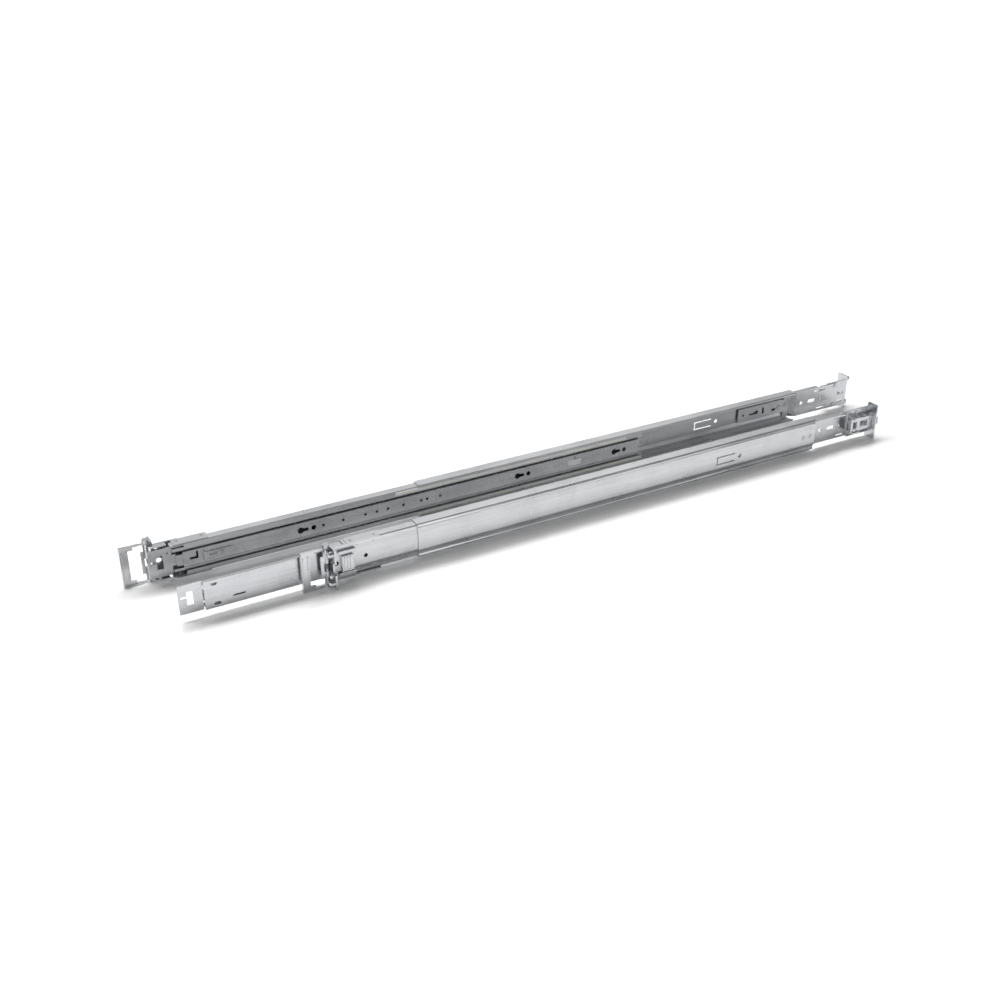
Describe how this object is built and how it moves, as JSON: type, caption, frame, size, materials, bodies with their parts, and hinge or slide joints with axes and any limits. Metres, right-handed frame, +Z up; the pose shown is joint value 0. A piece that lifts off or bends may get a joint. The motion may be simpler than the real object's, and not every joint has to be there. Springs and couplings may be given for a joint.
{
  "type": "sliding server rail pair",
  "caption": "Pair of telescopic ball-bearing rack rails with depth adjustment and tool-less peg brackets, one closed and one part open.",
  "frame": {"origin": "middle of the left rail's two front pegs, on the face that meets the rack post", "axes": "+X to the rear of the rack along the rails, +Y to the left seen from the front of the rack, +Z up"},
  "size_m": [0.939, 0.1179, 0.0464],
  "materials": {
    "zinc_channel": "zinc plated cold-rolled steel, satin",
    "zinc_bracket": "zinc plated pressed steel, satin",
    "zinc_plate": "zinc plated pressed steel, satin",
    "slide_steel": "bright zinc plated rolled steel",
    "retainer_steel": "plated spring-steel strip",
    "ball_steel": "polished bearing steel",
    "peg_steel": "turned steel, bright zinc",
    "rivet_steel": "headed steel, bright zinc",
    "spring_steel": "stainless spring wire",
    "white_nylon": "natural white nylon, moulded"
  },
  "bodies": {
    "front_sections": {"left_front_channel": "zinc_channel", "left_glide_strips": "white_nylon", "left_rear_bumper": "white_nylon", "left_front_bracket": "zinc_bracket", "left_front_pegs": "peg_steel", "left_tab_rivets": "rivet_steel", "left_hinge_pin": "rivet_steel", "left_securing_spring": "spring_steel", "left_button_spring": "spring_steel", "right_front_channel": "zinc_channel", "right_glide_strips": "white_nylon", "right_rear_bumper": "white_nylon", "right_front_bracket": "zinc_bracket", "right_front_pegs": "peg_steel", "right_tab_rivets": "rivet_steel", "right_hinge_pin": "rivet_steel", "right_securing_spring": "spring_steel", "right_button_spring": "spring_steel"},
    "left_rear_section": {"left_rear_channel": "zinc_channel", "left_rear_arm": "zinc_bracket", "left_arm_rivets": "rivet_steel", "left_rear_bracket": "zinc_bracket", "left_bracket_rivets": "rivet_steel", "left_rear_pegs": "peg_steel", "left_latch_pin": "rivet_steel"},
    "left_middle": {"left_middle_member": "slide_steel"},
    "left_inner": {"left_inner_member": "slide_steel", "left_inner_damper": "white_nylon", "left_tip_plate": "slide_steel", "left_lever_rivet": "rivet_steel"},
    "left_outer_bearing": {"left_outer_retainer": "retainer_steel", "left_outer_balls": "ball_steel"},
    "left_inner_bearing": {"left_inner_retainer": "retainer_steel", "left_inner_balls": "ball_steel"},
    "left_securing": {"left_securing_plate": "zinc_plate"},
    "left_button": {"left_release_button": "zinc_plate"},
    "left_latch": {"left_rear_latch": "zinc_plate", "left_latch_spring": "spring_steel"},
    "left_lever": {"left_release_lever": "zinc_plate"},
    "right_rear_section": {"right_rear_channel": "zinc_channel", "right_rear_arm": "zinc_bracket", "right_arm_rivets": "rivet_steel", "right_rear_bracket": "zinc_bracket", "right_bracket_rivets": "rivet_steel", "right_rear_pegs": "peg_steel", "right_latch_pin": "rivet_steel"},
    "right_middle": {"right_middle_member": "slide_steel"},
    "right_inner": {"right_inner_member": "slide_steel", "right_inner_damper": "white_nylon", "right_tip_plate": "slide_steel", "right_lever_rivet": "rivet_steel"},
    "right_outer_bearing": {"right_outer_retainer": "retainer_steel", "right_outer_balls": "ball_steel"},
    "right_inner_bearing": {"right_inner_retainer": "retainer_steel", "right_inner_balls": "ball_steel"},
    "right_securing": {"right_securing_plate": "zinc_plate"},
    "right_button": {"right_release_button": "zinc_plate"},
    "right_latch": {"right_rear_latch": "zinc_plate", "right_latch_spring": "spring_steel"},
    "right_lever": {"right_release_lever": "zinc_plate"}
  },
  "joints": [
    {"name": "left_depth_adjust", "type": "slide", "parent": "front_sections", "child": "left_rear_section", "axis": [1, 0, 0], "range_m": [-0.187, 0.003]},
    {"name": "left_middle_slide", "type": "slide", "parent": "front_sections", "child": "left_middle", "axis": [-1, 0, 0], "range_m": [0, 0.27]},
    {"name": "left_inner_slide", "type": "slide", "parent": "left_middle", "child": "left_inner", "axis": [-1, 0, 0], "range_m": [0, 0.29]},
    {"name": "left_outer_bearing_roll", "type": "slide", "parent": "front_sections", "child": "left_outer_bearing", "axis": [-1, 0, 0], "range_m": [0, 0.135]},
    {"name": "left_inner_bearing_roll", "type": "slide", "parent": "left_middle", "child": "left_inner_bearing", "axis": [-1, 0, 0], "range_m": [0, 0.145]},
    {"name": "left_securing_swing", "type": "hinge", "parent": "front_sections", "child": "left_securing", "pos_m": [-0.0036, -0.0073, 0], "axis": [0, 0, -1], "range_deg": [0, 90]},
    {"name": "left_button_press", "type": "slide", "parent": "front_sections", "child": "left_button", "axis": [1, 0, 0], "range_m": [0, 0.005], "stiffness_N_per_m": 300, "deforming": ["left_button_spring"]},
    {"name": "left_latch_swing", "type": "hinge", "parent": "left_rear_section", "child": "left_latch", "pos_m": [0.873, -0.007, 0], "axis": [0, 0, -1], "range_deg": [0, 8], "stiffness_Nm_per_rad": 0.3},
    {"name": "left_lever_tilt", "type": "hinge", "parent": "left_inner", "child": "left_lever", "pos_m": [0.066, -0.0214, 0], "axis": [0, 1, 0], "range_deg": [-8, 8], "stiffness_Nm_per_rad": 0.15},
    {"name": "right_depth_adjust", "type": "slide", "parent": "front_sections", "child": "right_rear_section", "axis": [1, 0, 0], "range_m": [0, 0.19]},
    {"name": "right_middle_slide", "type": "slide", "parent": "front_sections", "child": "right_middle", "axis": [-1, 0, 0], "range_m": [-0.141, 0.129]},
    {"name": "right_inner_slide", "type": "slide", "parent": "right_middle", "child": "right_inner", "axis": [-1, 0, 0], "range_m": [0, 0.29]},
    {"name": "right_outer_bearing_roll", "type": "slide", "parent": "front_sections", "child": "right_outer_bearing", "axis": [-1, 0, 0], "range_m": [-0.0705, 0.0645]},
    {"name": "right_inner_bearing_roll", "type": "slide", "parent": "right_middle", "child": "right_inner_bearing", "axis": [-1, 0, 0], "range_m": [0, 0.145]},
    {"name": "right_securing_swing", "type": "hinge", "parent": "front_sections", "child": "right_securing", "pos_m": [0.1434, -0.1026, 0], "axis": [0, 0, 1], "range_deg": [0, 90]},
    {"name": "right_button_press", "type": "slide", "parent": "front_sections", "child": "right_button", "axis": [1, 0, 0], "range_m": [0, 0.005], "stiffness_N_per_m": 300, "deforming": ["right_button_spring"]},
    {"name": "right_latch_swing", "type": "hinge", "parent": "right_rear_section", "child": "right_latch", "pos_m": [0.833, -0.1029, 0], "axis": [0, 0, 1], "range_deg": [0, 8], "stiffness_Nm_per_rad": 0.3},
    {"name": "right_lever_tilt", "type": "hinge", "parent": "right_inner", "child": "right_lever", "pos_m": [0.072, -0.0885, 0], "axis": [0, 1, 0], "range_deg": [-8, 8], "stiffness_Nm_per_rad": 0.15}
  ],
  "couplings": [
    {"joint": "left_outer_bearing_roll", "follows": "left_middle_slide", "ratio": 0.5},
    {"joint": "left_inner_bearing_roll", "follows": "left_inner_slide", "ratio": 0.5},
    {"joint": "right_outer_bearing_roll", "follows": "right_middle_slide", "ratio": 0.5},
    {"joint": "right_inner_bearing_roll", "follows": "right_inner_slide", "ratio": 0.5}
  ]
}
